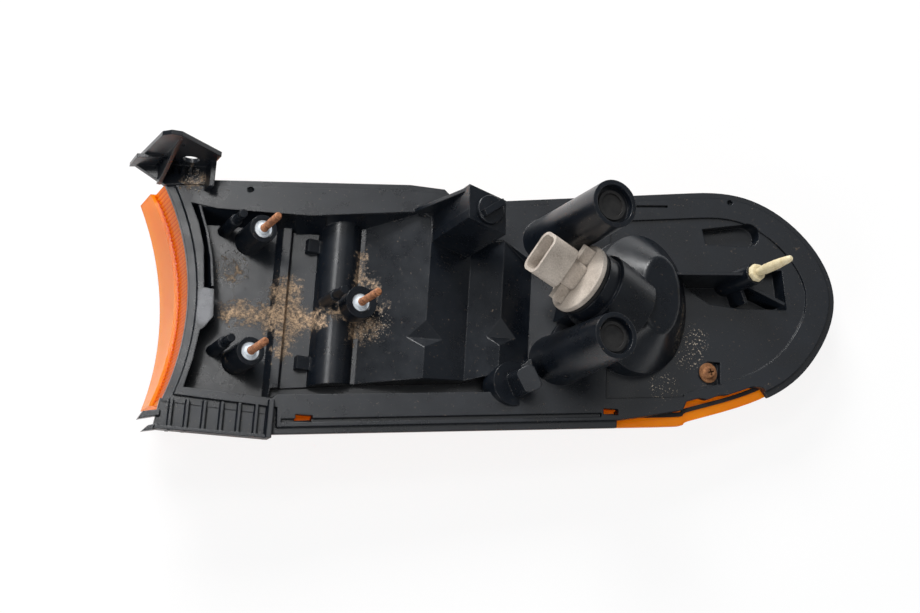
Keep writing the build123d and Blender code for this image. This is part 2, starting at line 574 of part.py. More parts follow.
def add_brackets(body):
    """Upper bracket with its hole and the ribbed lower bracket."""
    wall = [(u, level(u, h)) for u, h in UL_WALL]
    body += DRAW.location * across_draw(wall, UL_BACK - UL_T, UL_BACK)
    body += layer(face_of(UL_FLOOR), -DECK_T, -0.2)
    left, right = UL_SIDE
    side = [(left, 52.0), (right, 52.0), (right, UL_BACK), (left, UL_BACK)]
    body += layer(face_of(side), -DECK_T, 9.0)
    u0 = UL_GUSSET_AT
    foot, foot_high, tip_high = UL_GUSSET
    gusset = [(UL_BACK - 1, level(u0, tip_high)), (UL_BACK - 1, level(u0, -1)), (foot, level(u0, -1)),
              (foot, level(u0, foot_high))]
    plate = Plane.YZ * make_face(Polyline(*gusset, close=True))
    body += DRAW * Pos(u0, 0, 0) * extrude(plate, amount=GUSSET_T)
    body -= layer(face_of(UL_GAP), -DECK_T - 1, 1)
    body += layer(face_of(UL_HOOK), -DECK_T, UL_HOOK_TOP)
    hole = DRAW * Pos(UL_HOLE[0], UL_BACK + 5, level(*UL_HOLE)) * Rot(90, 0, 0)
    body -= hole * Cylinder(UL_HOLE_R, 12, align=(Align.CENTER, Align.CENTER, Align.MIN))
    for u in UL_COMB:
        slot = [(u - 0.8, 60.5), (u + 0.8, 60.5), (u + 0.8, 65.0), (u - 0.8, 65.0)]
        body -= layer(face_of(slot), -1.8, 2)

    body += layer(face_of(LL_SHELF), -LIP_DEPTH, -LIP_DEPTH + 2)
    (ua, va), (ub, vb) = LL_SHELF[0], LL_SHELF[1]
    rail = [(ua, va), (ub, vb), (ub, vb + LL_RAIL_T), (ua, va + LL_RAIL_T)]
    body += layer(face_of(rail), -LIP_DEPTH, 0.6)
    for u in LL_RIBS:
        slab = [(u, -75.4), (u + LL_RIB_T, -75.4), (u + LL_RIB_T, -59.0), (u, -59.0)]
        body += layer(face_of(slab), -LIP_DEPTH, 0.2)
    left, right = LL_END
    end = [(left, -76.0), (right, -76.0), (right, -56.5), (left, -56.5)]
    body += layer(face_of(end), -LIP_DEPTH, 2.4)
    for prong in LL_PRONGS:
        body += layer(face_of(prong), -LIP_DEPTH, -0.6)
    return body


def across_draw(points, v0, v1):
    """A profile of (u, w) points in the draw's frame drawn out across the lamp."""
    face = Plane.XZ * make_face(Polyline(*points, close=True))
    return Pos(0, v1, 0) * extrude(face, amount=v1 - v0)


def front_ball(inset):
    """The bulged body whose underside is the lens front, moved in by inset."""
    minor = LENS_R_CROSS - inset
    ring_body = Torus(LENS_R_LONG - LENS_R_CROSS, minor)
    # The table frame is turned back into the deck's frame
    placed = Pos(LENS_LOW[0], LENS_LOW[1], LENS_R_LONG - DECK_HEIGHT) * Rot(90, 0, 0) * ring_body
    return Rot(0, -REST_FALL, 0) * placed


def build_lens():
    """The amber moulding: walls, fluted left band, rim flange, bulged front."""
    top = -LIP_DEPTH - SEAL_T
    shell = layer(ring(LENS_LEFT_IN - SHOULDER, LENS_SIDE_IN, LENS_CORNER_IN), -90, -FLUTE_BAND)
    shell += layer(ring(LENS_LEFT_IN, LENS_SIDE_IN, LENS_CORNER_IN, FLUTES), -FLUTE_BAND - 2, top)
    shell = shell & front_ball(0)
    rim = ring(LENS_LEFT_IN + FLANGE_LEFT_IN, LENS_FLANGE_IN, LENS_CORNER_IN)
    shell += layer(rim, top - FLANGE_T, top)
    wall = LENS_T
    inside = ring(LENS_LEFT_IN + wall, LENS_SIDE_IN + wall, LENS_CORNER_IN + wall)
    shell -= layer(inside, -90, 0) & front_ball(wall)
    post = rod(*SCREW_AT, -60, SCREW_SEAT - DECK_T, SCREW_BOSS_R) & front_ball(wall / 2)
    post -= rod(*SCREW_AT, SCREW_SEAT - SCREW_LENGTH, 0, SCREW_SHANK_R)
    return shell + post


def build_seal():
    """The soft ring between the lens rim and the housing's lip."""
    seal = layer(ring(SEAL_LEFT[0], SEAL_SIDE[0], SEAL_LEFT[0] + 0.6), -LIP_DEPTH - SEAL_T, -LIP_DEPTH)
    return seal - layer(ring(SEAL_LEFT[1], SEAL_SIDE[1], SEAL_LEFT[1] + 0.6), -LIP_DEPTH - SEAL_T - 1, 0)


def build_holder():
    """The grey bulb holder with its connector shroud."""
    disc = bar_out(-DISC_T / 2, DISC_T / 2, DISC_R)
    disc = fillet(disc.edges(), 0.6)
    back = -DISC_T / 2 - GASKET_T - RUN - COLLAR_FLANGE - RUN
    low_align = (Align.CENTER, Align.CENTER, Align.MIN)
    body = disc + bar_out(back - LUG_T - NECK_END, 0, NECK_R)
    for i in range(LUGS):
        lug = holder_plane() * Pos(0, 0, back - LUG_T) * Rot(0, 0, i * 360 / LUGS + 30)
        lug = lug * Pos(LUG_R / 2, 0, 0) * Box(LUG_R, LUG_SPAN, LUG_T, align=low_align)
        body += lug & bar_out(back - LUG_T, back, LUG_R)
    wide, high, tall = SHROUD
    outer = extrude(RectangleRounded(wide, high, SHROUD_ROUND), tall - STEM[2])
    stem = extrude(RectangleRounded(STEM[0], STEM[1], STEM_ROUND), STEM[2] + 1)
    inner_round = SHROUD_ROUND - SHROUD_WALL
    mouth = RectangleRounded(wide - 2 * SHROUD_WALL, high - 2 * SHROUD_WALL, inner_round)
    mouth = extrude(mouth, SHROUD_DEPTH)
    body += holder_plane() * stem
    body += holder_plane(STEM[2]) * outer
    body -= holder_plane(tall - SHROUD_DEPTH) * mouth
    for end in (-1, 1):
        place = holder_plane() * Pos(end * FIN_AT, 0, 0)
        body += place * Box(FIN[0], FIN[1], FIN[2] + DISC_T / 2, align=low_align)
    key = holder_plane(tall - SHROUD_KEY[2] - 1) * Pos(0, high / 2, 0)
    body += key * Box(*SHROUD_KEY, align=low_align)
    for end in (-1, 1):
        body -= blade(end)
    tip = back - LUG_T - NECK_END
    body -= bar_out(tip, tip + BULB_SEAT, BULB_BASE_R)
    return body


def blade(end):
    """One terminal blade of the connector."""
    floor = SHROUD[2] - SHROUD_DEPTH
    place = holder_plane(floor - BLADE_ROOT) * Pos(end * BLADE_PITCH / 2, 0, 0)
    low_align = (Align.CENTER, Align.CENTER, Align.MIN)
    return place * Box(BLADE[0], BLADE[1], BLADE_ROOT + BLADE_REACH, align=low_align)


def build_bulb():
    """The bulb on the holder's inner end."""
    tip = -DISC_T / 2 - GASKET_T - 2 * RUN - COLLAR_FLANGE - LUG_T - NECK_END + BULB_SEAT
    body = bar_out(tip - BULB_BASE, tip, BULB_BASE_R)
    body += bar_out(tip - BULB_LENGTH + BULB_R, tip - BULB_BASE + 1, BULB_R - 2.0)
    return body + holder_plane(tip - BULB_LENGTH + BULB_R) * Sphere(BULB_R)


def build_plug():
    """The quarter-turn plug on the block."""
    at = DRAW * Pos(PLUG_AT[0], PLUG_AT[1], BLOCK_TOP + RUN)
    up_align = (Align.CENTER, Align.CENTER, Align.MIN)
    down = (Align.CENTER, Align.CENTER, Align.MAX)
    body = at * fillet(Cylinder(PLUG_R, PLUG_T, align=up_align).edges().group_by(Axis.Z)[-1], 0.6)
    body += at * Rot(0, 0, PLUG_BAR_TURN) * Box(*PLUG_BAR, align=up_align)
    reach = RUN + WALL + RUN + PLUG_LUG_T
    body += at * Cylinder(PLUG_NECK_R, reach, align=down)
    lug = Pos(0, 0, -reach + PLUG_LUG_T) * Box(2 * PLUG_LUG_R, PLUG_LUG_W, PLUG_LUG_T, align=down)
    return body + at * Rot(0, 0, PLUG_BAR_TURN) * lug


def plug_hole():
    """The keyed hole that the plug's lugs pass when it is turned to its open position."""
    at = DRAW * Pos(PLUG_AT[0], PLUG_AT[1], BLOCK_TOP - WALL - 1)
    up_align = (Align.CENTER, Align.CENTER, Align.MIN)
    hole = at * Cylinder(PLUG_NECK_R + RUN, WALL + 2, align=up_align)
    key = Box(2 * (PLUG_LUG_R + RUN), PLUG_LUG_W + 2 * RUN, WALL + 2, align=up_align)
    return hole + at * Rot(0, 0, PLUG_BAR_TURN + 90) * key


def build_stud(u, v, collar):
    """A shoulder stud: root in the boss, pale collar, threaded bar."""
    body = rod(u, v, collar - COLLAR_T - STUD_ROOT, collar, STUD_ROOT_R)
    body += rod(u, v, collar - COLLAR_T, collar, COLLAR_R)
    body += rod(u, v, collar, collar + STUD_NECK, STUD_R + 1.0, STUD_R)
    end = collar + STUD_REACH
    body += rod(u, v, collar, end - STUD_POINT, STUD_R)
    return body + rod(u, v, end - STUD_POINT, end, STUD_R, STUD_R - STUD_POINT)


def build_clip():
    """The nylon locating peg."""
    u, v = CLIP_AT
    top = CLIP_TOP + CLIP_FLANGE_T
    body = rod(u, v, CLIP_TOP - CLIP_ROOT, CLIP_TOP, CLIP_ROOT_R)
    body += rod(u, v, CLIP_TOP, top, CLIP_FLANGE_R)
    body += rod(u, v, top, top + CLIP_PIN, CLIP_PIN_R)
    return body + rod(u, v, top + CLIP_PIN, top + CLIP_PIN + CLIP_TIP, CLIP_PIN_R, CLIP_TIP_R)


def build_screw():
    """The washer-head cross-recess screw."""
    u, v = SCREW_AT
    head = SCREW_SEAT + SCREW_WASHER_T
    body = rod(u, v, SCREW_SEAT - SCREW_LENGTH, SCREW_SEAT, SCREW_SHANK_R)
    body += rod(u, v, SCREW_SEAT, head, SCREW_WASHER_R)
    body += rod(u, v, head, head + SCREW_HEAD_T, SCREW_HEAD_R, SCREW_HEAD_R - SCREW_HEAD_DRAFT)
    long, wide, deep = SCREW_RECESS
    for turn in (0, 90):
        place = DRAW * Pos(u, v, level(u, head + SCREW_HEAD_T - deep)) * Rot(0, 0, turn + 20)
        body -= place * Box(long, wide, 2 * deep, align=(Align.CENTER, Align.CENTER, Align.MIN))
    return body


def build_core(u, v, tall):
    """A breather core in the end of a tall tube."""
    body = rod(u, v, tall - CORE_SEAT - CORE_T, tall - CORE_SEAT + 1.4, CORE_R)
    return body - rod(u, v, tall - CORE_SEAT + 0.5, tall, CORE_R - 1.6)


housing = add_brackets(add_right_end(add_tower(build_housing()))) - plug_hole()
parts = {"housing": housing, "lens": build_lens(), "lens_seal": build_seal()}
parts["bulb_socket"] = build_holder()
gasket_low = -DISC_T / 2 - GASKET_T
parts["socket_gasket"] = bar_out(gasket_low, -DISC_T / 2, GASKET_R) - bar_out(gasket_low - 1, 0, NECK_R)
parts["terminal_a"] = blade(-1)
parts["terminal_b"] = blade(1)
parts["bulb"] = build_bulb()
for name, (u, v, collar, boss_r, foot) in STUDS.items():
    parts[name] = build_stud(u, v, collar)
parts["locating_clip"] = build_clip()
parts["lens_screw"] = build_screw()
parts["blanking_plug"] = build_plug()
for name, (u, v, tall, end_r, foot_r) in TUBES.items():
    parts[name] = build_core(u, v, tall)

# Rest pose: the deck falls to the round end, the origin is under the middle of the part
turned = {name: Rot(0, REST_FALL, 0) * shape for name, shape in parts.items()}
boxes = [shape.bounding_box() for shape in turned.values()]
x_mid = (min(b.min.X for b in boxes) + max(b.max.X for b in boxes)) / 2
y_mid = (min(b.min.Y for b in boxes) + max(b.max.Y for b in boxes)) / 2
z_low = min(b.min.Z for b in boxes)
SHIFT = Pos(-x_mid, -y_mid, -z_low)

os.makedirs("parts", exist_ok=True)
for name, shape in turned.items():
    solid = SHIFT * shape
    export_step(solid, f"parts/{name}.step")
    print(name, len(solid.solids()), round(solid.volume, 1))

rest = SHIFT * Rot(0, REST_FALL, 0)


def shown(label, location):
    """Print a place and its upward direction in the part's frame, in metres."""
    spot = location.position
    way = Plane(location).z_dir
    print(label, [round(c / 1000, 6) for c in spot], [round(c, 6) for c in way])


for name, (u, v, collar, boss_r, foot) in STUDS.items():
    shown(name, rest * DRAW.location * Pos(u, v, level(u, collar)))
shown("clip", rest * DRAW.location * Pos(*CLIP_AT, level(CLIP_AT[0], CLIP_TOP + CLIP_FLANGE_T)))
shown("bracket hole", rest * DRAW.location * Pos(UL_HOLE[0], UL_BACK, level(*UL_HOLE)) * Rot(-90, 0, 0))
shown("holder", rest * holder_plane())
shown("connector mouth", rest * holder_plane(SHROUD[2]))
shown("plug", rest * DRAW.location * Pos(*PLUG_AT, BLOCK_TOP))
shown("screw", rest * DRAW.location * Pos(*SCREW_AT, level(SCREW_AT[0], SCREW_SEAT)))
shown("plan origin", rest)
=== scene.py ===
# %% [markdown]
# # Dressing a front turn signal lamp
# The lamp lies on its amber lens with its black back up. The imported solids are already the
# right shape, so this lesson gives them finishes, builds the few pieces whose small forms are
# too fine for the solids, and sets up a plain studio. First the frame is loaded.

# %% Load the frame
import math

import bmesh
import bpy
from mathutils import Matrix, Vector


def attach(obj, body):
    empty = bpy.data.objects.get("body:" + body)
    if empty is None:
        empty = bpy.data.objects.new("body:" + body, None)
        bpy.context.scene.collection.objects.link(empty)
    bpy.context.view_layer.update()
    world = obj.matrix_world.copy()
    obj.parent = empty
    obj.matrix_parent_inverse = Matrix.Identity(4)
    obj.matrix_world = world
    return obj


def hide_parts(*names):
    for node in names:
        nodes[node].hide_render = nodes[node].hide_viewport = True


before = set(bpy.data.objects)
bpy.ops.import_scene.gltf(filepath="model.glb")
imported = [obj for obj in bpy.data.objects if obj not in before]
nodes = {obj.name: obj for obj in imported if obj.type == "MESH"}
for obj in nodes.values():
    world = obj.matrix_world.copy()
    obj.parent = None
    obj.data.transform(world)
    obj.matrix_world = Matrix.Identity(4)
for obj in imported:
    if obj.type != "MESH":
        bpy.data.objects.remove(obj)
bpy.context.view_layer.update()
MM = 0.001

# %% [markdown]
# ## Camera
# The photograph looks down steeply on the back of the lamp, from a little to the right. A
# 60 mm lens at about 0.8 m gives the same slight perspective on the tall tubes. The camera
# could be aimed with a constraint, but a plain rotation also holds in the other views.

# %% Camera
LOOK_AT = Vector((-9.5, 0.8, 44.0)) * MM
CAMERA_AZIMUTH, CAMERA_ELEVATION, CAMERA_DISTANCE = math.radians(3.2), math.radians(73.0), 790.0 * MM
camera = bpy.data.objects.new("camera", bpy.data.cameras.new("camera"))
bpy.context.scene.collection.objects.link(camera)
camera.data.lens = 60.0
camera.data.sensor_width = 36.0
back = Vector((math.sin(CAMERA_AZIMUTH) * math.cos(CAMERA_ELEVATION),
               -math.cos(CAMERA_AZIMUTH) * math.cos(CAMERA_ELEVATION),
               math.sin(CAMERA_ELEVATION)))
camera.location = LOOK_AT + back * CAMERA_DISTANCE
camera.rotation_euler = (-back).to_track_quat("-Z", "Y").to_euler()
bpy.context.scene.camera = camera
print("camera at", [round(c, 3) for c in camera.location])

# %% [markdown]
# ## Colours and nodes
# Colours are written as the hex values that a colour picker shows. Shader sockets take linear
# light, so one function converts them. Another small function adds a node, sets it up and links
# it, which keeps each material readable from top to bottom.

# %% Two helpers
def linear(code):
    """A hex colour as the linear red, green, blue and alpha that a socket takes."""
    channels = [int(code[i:i + 2], 16) / 255 for i in (1, 3, 5)]
    return [c / 12.92 if c <= 0.04045 else ((c + 0.055) / 1.055) ** 2.4 for c in channels] + [1.0]


def add(tree, kind, inputs=None, **settings):
    """Adds a node, gives it its settings, and fills its inputs with values or links."""
    node = tree.nodes.new(kind)
    for name, value in settings.items():
        setattr(node, name, value)
    for name, value in (inputs or {}).items():
        if isinstance(value, bpy.types.NodeSocket):
            tree.links.new(value, node.inputs[name])
        else:
            node.inputs[name].default_value = value
    return node


def new_material(name):
    """An empty node material with its output, and the Object coordinates its patterns read."""
    material = bpy.data.materials.new(name)
    material.use_nodes = True
    tree = material.node_tree
    tree.nodes.clear()
    output = tree.nodes.new("ShaderNodeOutputMaterial")
    place = tree.nodes.new("ShaderNodeTexCoord").outputs["Object"]
    return material, tree, output, place


def per_mm(size):
    """The scale of a pattern whose features are size millimetres apart."""
    return 1.0 / (size * MM)


print("amber in linear light:", [round(c, 3) for c in linear("#ff8000")])

# %% [markdown]
# ## Black housing: moulded polypropylene
# The housing is black polypropylene from a tool with a satin finish: nearly black, slightly
# blue where the sky is reflected, softer where the moulding has been handled. Years on a car
# have left tan mud in the pan round the studs, grains round the dome and a tab rubbed pale
# beside the lens. The mud could be painted on the mesh. Here it is a set of soft spots in
# object space, broken up by noise, so that it stays put on the part from all sides. Tool edges
# are never knife sharp, so a Bevel node rounds the light on them.

# %% Where the mud, grains and bare plastic are, as centre and reach in mm
MUD_SPOTS = [((-101, -2, 37), 14), ((-100, 8, 37), 11), ((-100, -11, 37), 12), ((-100, -20, 37), 9),
             ((-99, -28, 37), 7), ((-128, -7, 39), 9), ((-120, -8, 39), 10), ((-111, -9, 38), 11),
             ((-90, -9, 36), 11), ((-82, -7, 38), 10), ((-75, -6, 38), 9), ((-69, -5, 36), 11),
             ((-69, 5, 36), 9), ((-63, -14, 35), 8), ((-54, -10, 34), 10), ((-50, 1, 34), 8),
             ((-56, 11, 36), 8), ((-63, 18, 35), 8), ((-63, 28, 35), 6), ((-123, -33, 43), 8),
             ((-132, 21, 43), 7), ((-128, 12, 41), 6), ((-151, 58, 55), 8), ((109, 4, 44), 7),
             ((107, -8, 44), 7)]
GRIT_SPOTS = [((109, 4, 44), 13), ((108, -10, 43), 13), ((112, -8, 37), 13), ((110, -17, 36), 11),
              ((97, -33, 35), 11), ((66, 30, 61), 8), ((69, 21, 61), 8), ((65, -11, 55), 9),
              ((78, -20, 63), 8), ((-151, 58, 55), 10), ((-130, 16, 42), 14), ((-54, -10, 35), 15)]
BARE_SPOTS = [((-139, -3, 54), 7), ((-139, -9, 54), 7), ((-139, -15, 54), 7)]
MUD_SWAY = 0.028      # reach of the noise that tears the mud's edges, in metres


def spot_mask(tree, place, spots):
    """The sum of soft round spots, each given by its centre and reach in millimetres."""
    total = 0.0
    for centre, reach in spots:
        away = add(tree, "ShaderNodeVectorMath", {0: place, 1: Vector(centre) * MM}, operation="DISTANCE")
        soft = add(tree, "ShaderNodeMapRange", {"Value": away.outputs["Value"], "From Min": reach * MM,
                   "From Max": 0.0}, interpolation_type="SMOOTHSTEP")
        total = add(tree, "ShaderNodeMath", {0: soft.outputs["Result"], 1: total},
                    operation="ADD").outputs[0]
    return total


print("mud spots:", len(MUD_SPOTS), "grit spots:", len(GRIT_SPOTS))


# %% The housing's material
def housing_plastic():
    material, tree, output, place = new_material("black_moulded_polypropylene")
    # Handling has polished and scuffed patches of about 12 mm, with finer marks of 1.5 mm in them
    patches = add(tree, "ShaderNodeTexNoise", {"Vector": place, "Scale": per_mm(12), "Detail": 5.0,
                  "Roughness": 0.6})
    marks = add(tree, "ShaderNodeTexNoise", {"Vector": place, "Scale": per_mm(1.6), "Detail": 5.0,
                "Roughness": 0.75})
    grit = add(tree, "ShaderNodeTexNoise", {"Vector": place, "Scale": per_mm(0.9), "Detail": 2.0})
    black = add(tree, "ShaderNodeMix", {"Factor": patches.outputs["Fac"], "A": linear("#080b10"),
                "B": linear("#141a22")}, data_type="RGBA")

    # Bare, rubbed plastic on the tab beside the lens
    bare = spot_mask(tree, place, BARE_SPOTS)
    rubbed = add(tree, "ShaderNodeMapRange", {"Value": bare, "From Min": 0.2, "From Max": 0.7,
                 "To Max": 0.6})
    worn = add(tree, "ShaderNodeMix", {"Factor": rubbed.outputs["Result"], "A": black.outputs["Result"],
               "B": linear("#6a6c72")}, data_type="RGBA")

    # Tan mud: the spots are read at places shoved about by noise, which makes one ragged splash of them
    sway = add(tree, "ShaderNodeTexNoise", {"Vector": place, "Scale": per_mm(7), "Detail": 5.0,
               "Roughness": 0.7})
    shove = add(tree, "ShaderNodeVectorMath", {0: sway.outputs["Color"], 1: (0.5, 0.5, 0.5)},
                operation="SUBTRACT")
    strayed = add(tree, "ShaderNodeVectorMath", {0: shove.outputs["Vector"],
                  1: (MUD_SWAY, MUD_SWAY, MUD_SWAY), 2: place}, operation="MULTIPLY_ADD")
    spots = spot_mask(tree, strayed.outputs["Vector"], MUD_SPOTS)
    torn = add(tree, "ShaderNodeMath", {0: marks.outputs["Fac"], 1: 2.4, 2: spots},
               operation="MULTIPLY_ADD")
    mud = add(tree, "ShaderNodeMapRange", {"Value": torn.outputs[0], "From Min": 1.5, "From Max": 2.5,
              "To Max": 0.85})
    film = add(tree, "ShaderNodeMapRange", {"Value": spots, "From Min": 0.1, "From Max": 1.2,
               "To Max": 0.22})
    crumbs = add(tree, "ShaderNodeMapRange", {"Value": marks.outputs["Fac"], "From Min": 0.36,
                 "From Max": 0.62})
    tan = add(tree, "ShaderNodeMix", {"Factor": crumbs.outputs["Result"], "A": linear("#57483b"),
              "B": linear("#dcbb98")}, data_type="RGBA")
    filmy = add(tree, "ShaderNodeMix", {"Factor": film.outputs["Result"], "A": worn.outputs["Result"],
                "B": linear("#7d756a")}, data_type="RGBA")
    muddy = add(tree, "ShaderNodeMix", {"Factor": mud.outputs["Result"], "A": filmy.outputs["Result"],
                "B": tan.outputs["Result"]}, data_type="RGBA")

    # Single pale grains stuck round the dome and in the pan
    grains = spot_mask(tree, place, GRIT_SPOTS)
    near = add(tree, "ShaderNodeMapRange", {"Value": grains, "From Min": 0.1, "From Max": 0.5})
    peaks = add(tree, "ShaderNodeMapRange", {"Value": grit.outputs["Fac"], "From Min": 0.61,
                "From Max": 0.66})
    stuck = add(tree, "ShaderNodeMath", {0: near.outputs["Result"], 1: peaks.outputs["Result"]},
                operation="MULTIPLY")
    colour = add(tree, "ShaderNodeMix", {"Factor": stuck.outputs[0], "A": muddy.outputs["Result"],
                 "B": linear("#b3a695")}, data_type="RGBA")

    # Satin plastic where it is clean, dull where mud lies
    satin = add(tree, "ShaderNodeMapRange", {"Value": patches.outputs["Fac"], "From Min": 0.3,
                "From Max": 0.7, "To Min": 0.24, "To Max": 0.36})
    dull = add(tree, "ShaderNodeMath", {0: mud.outputs["Result"], 1: film.outputs["Result"]},
               operation="ADD")
    rough = add(tree, "ShaderNodeMix", {"Factor": dull.outputs[0], "A": satin.outputs["Result"], "B": 0.9})
    soft_edge = add(tree, "ShaderNodeBevel", {"Radius": 0.7 * MM}, samples=4)
    relief = add(tree, "ShaderNodeMath", {0: marks.outputs["Fac"], 1: mud.outputs["Result"],
                 2: stuck.outputs[0]}, operation="MULTIPLY_ADD")
    bump = add(tree, "ShaderNodeBump", {"Height": relief.outputs[0], "Strength": 0.6, "Distance": 0.4 * MM,
               "Normal": soft_edge.outputs["Normal"]})
    grain = add(tree, "ShaderNodeBump", {"Height": marks.outputs["Fac"], "Strength": 0.1,
                "Distance": 0.1 * MM, "Normal": bump.outputs["Normal"]})
    shader = add(tree, "ShaderNodeBsdfPrincipled", {"Base Color": colour.outputs["Result"],
                 "Roughness": rough.outputs["Result"], "Normal": grain.outputs["Normal"], "IOR": 1.5})
    tree.links.new(shader.outputs[0], output.inputs["Surface"])
    return material


black_housing = housing_plastic()
for name in ("housing", "blanking_plug"):
    nodes[name].data.materials.clear()
    nodes[name].data.materials.append(black_housing)
print("housing material has", len(black_housing.node_tree.nodes), "nodes")

# %% [markdown]
# ## Amber lens: moulded acrylic
# The lens is amber acrylic. Amber takes out blue at once and green slowly, so a thin wall is
# yellow-orange and a thick edge is red. Clear glass with an absorbing volume would do it alone,
# but it shows too much of the white sheet. Old acrylic scatters light, so a milky translucent
# part is mixed in. An occlusion node paints shade into the grooves between the flutes as a
# darker red-orange.

# %% Lens
def amber_acrylic():
    material, tree, output, place = new_material("amber_moulded_acrylic")
    # Fine scuffs of about 3 mm dull the gloss here and there
    scuffs = add(tree, "ShaderNodeTexNoise", {"Vector": place, "Scale": per_mm(3), "Detail": 6.0,
                 "Roughness": 0.65})
    gloss = add(tree, "ShaderNodeMapRange", {"Value": scuffs.outputs["Fac"], "From Min": 0.4,
                "From Max": 0.75, "To Min": 0.06, "To Max": 0.22})
    clouds = add(tree, "ShaderNodeTexNoise", {"Vector": place, "Scale": per_mm(25), "Detail": 2.0})
    orange = add(tree, "ShaderNodeMix", {"Factor": clouds.outputs["Fac"], "A": linear("#ff9a08"),
                 "B": linear("#ffb828")}, data_type="RGBA")
    # Painted shade: an occlusion node finds the grooves between the flutes and paints them a darker
    # red-orange
    flute_occlusion = add(tree, "ShaderNodeAmbientOcclusion", {"Distance": 2.0 * MM}, samples=4, only_local=True)
    painted_valley_shade = add(tree, "ShaderNodeMapRange", {"Value": flute_occlusion.outputs["AO"], "From Min": 0.45,
               "From Max": 0.95})
    colour = add(tree, "ShaderNodeMix", {"Factor": painted_valley_shade.outputs["Result"], "A": linear("#e04400"),
                 "B": orange.outputs["Result"]}, data_type="RGBA")
    bump = add(tree, "ShaderNodeBump", {"Height": scuffs.outputs["Fac"], "Strength": 0.05,
               "Distance": 0.1 * MM})
    clear = add(tree, "ShaderNodeBsdfPrincipled", {"Base Color": colour.outputs["Result"],
                "Roughness": gloss.outputs["Result"], "Normal": bump.outputs["Normal"], "IOR": 1.3,
                "Specular IOR Level": 0.3, "Transmission Weight": 0.35})
    milky = add(tree, "ShaderNodeBsdfTranslucent", {"Color": colour.outputs["Result"]})
    shader = add(tree, "ShaderNodeMixShader", {0: 0.3, 1: clear.outputs[0], 2: milky.outputs[0]})
    tree.links.new(shader.outputs[0], output.inputs["Surface"])
    volume = add(tree, "ShaderNodeVolumeAbsorption", {"Color": (0.998, 0.74, 0.05, 1.0), "Density": 90.0})
    tree.links.new(volume.outputs[0], output.inputs["Volume"])
    return material


amber = amber_acrylic()
nodes["lens"].data.materials.clear()
nodes["lens"].data.materials.append(amber)
print("lens material:", amber.name)

# %% [markdown]
# ## Rubber, grey holder, blades and bulb
# The seal, gasket and breather cores are soft black rubber, dull and a little dusty. The bulb
# holder is warm grey PBT, a heat-proof plastic that yellows. Painted shade darkens the corners
# of every finish but the glass. The blades are tinned brass gone brown, and the bulb is clear
# glass. A material for each could be written out, but they differ only in colours, grain and
# gloss, so one function serves them.

# %% Plain mouldings and metals
def speckled(name, dark, light, cloud_mm, grain_mm, rough, metallic=0.0, relief=0.15, edge_mm=0.3):
    """A solid finish with broad clouds and fine grain between two colours, and painted shade darkening its
    corners.
    """
    material, tree, output, place = new_material(name)
    clouds = add(tree, "ShaderNodeTexNoise", {"Vector": place, "Scale": per_mm(cloud_mm), "Detail": 5.0})
    grain = add(tree, "ShaderNodeTexNoise", {"Vector": place, "Scale": per_mm(grain_mm), "Detail": 5.0,
                "Roughness": 0.7})
    both = add(tree, "ShaderNodeMix", {"Factor": 0.5, "A": clouds.outputs["Fac"],
               "B": grain.outputs["Fac"]})
    spread = add(tree, "ShaderNodeMapRange", {"Value": both.outputs["Result"], "From Min": 0.36,
                 "From Max": 0.64})
    clean = add(tree, "ShaderNodeMix", {"Factor": spread.outputs["Result"], "A": linear(dark),
                "B": linear(light)}, data_type="RGBA")
    # Painted shade: an occlusion node darkens corners and creases towards a dark brown
    corner = add(tree, "ShaderNodeAmbientOcclusion", {"Distance": 2.0 * MM}, samples=4)
    painted_corner_shade = add(tree, "ShaderNodeMapRange", {"Value": corner.outputs["AO"], "From Min": 0.3,
                   "From Max": 0.85, "To Min": 0.35})
    colour = add(tree, "ShaderNodeMix", {"Factor": painted_corner_shade.outputs["Result"], "A": linear("#1c1612"),
                 "B": clean.outputs["Result"]}, data_type="RGBA")
    dull = add(tree, "ShaderNodeMapRange", {"Value": grain.outputs["Fac"], "From Min": 0.3, "From Max": 0.7,
               "To Min": rough - 0.08, "To Max": rough + 0.1})
    edge = add(tree, "ShaderNodeBevel", {"Radius": edge_mm * MM}, samples=4)
    bump = add(tree, "ShaderNodeBump", {"Height": grain.outputs["Fac"], "Strength": relief,
               "Distance": 0.2 * MM, "Normal": edge.outputs["Normal"]})
    shader = add(tree, "ShaderNodeBsdfPrincipled", {"Base Color": colour.outputs["Result"],
                 "Metallic": metallic, "Roughness": dull.outputs["Result"],
                 "Normal": bump.outputs["Normal"]})
    tree.links.new(shader.outputs[0], output.inputs["Surface"])
    return material


def clear_glass():
    material, tree, output, place = new_material("clear_blown_glass")
    haze = add(tree, "ShaderNodeTexNoise", {"Vector": place, "Scale": per_mm(4), "Detail": 3.0})
    smoky = add(tree, "ShaderNodeMapRange", {"Value": haze.outputs["Fac"], "To Min": 0.01, "To Max": 0.08})
    shader = add(tree, "ShaderNodeBsdfPrincipled", {"Base Color": linear("#f4f1ea"), "IOR": 1.5,
                 "Roughness": smoky.outputs["Result"], "Transmission Weight": 1.0})
    tree.links.new(shader.outputs[0], output.inputs["Surface"])
    return material


finishes = {
    "bulb_socket": speckled("warm_grey_pbt", "#9a8f84", "#d0c5b9", 9, 0.8, 0.5),
    "terminal_a": speckled("tarnished_brass_blade", "#4a3528", "#9c7a55", 3, 0.6, 0.42, metallic=0.8),
    "lens_screw": speckled("rusty_steel_screw", "#6a4028", "#c08a5e", 2.2, 0.5, 0.62, metallic=0.35,
                           relief=0.4),
    "breather_upper": speckled("black_core_rubber", "#121214", "#2e2d2c", 4, 0.5, 0.55),
    "lens_seal": speckled("soft_black_seal", "#101011", "#262525", 6, 0.7, 0.7),
    "bulb": clear_glass(),
}
finishes["terminal_b"] = finishes["terminal_a"]
finishes["breather_lower"] = finishes["breather_upper"]
finishes["socket_gasket"] = finishes["lens_seal"]
for name, material in finishes.items():
    nodes[name].data.materials.clear()
    nodes[name].data.materials.append(material)
print("finished nodes:", sorted(finishes))

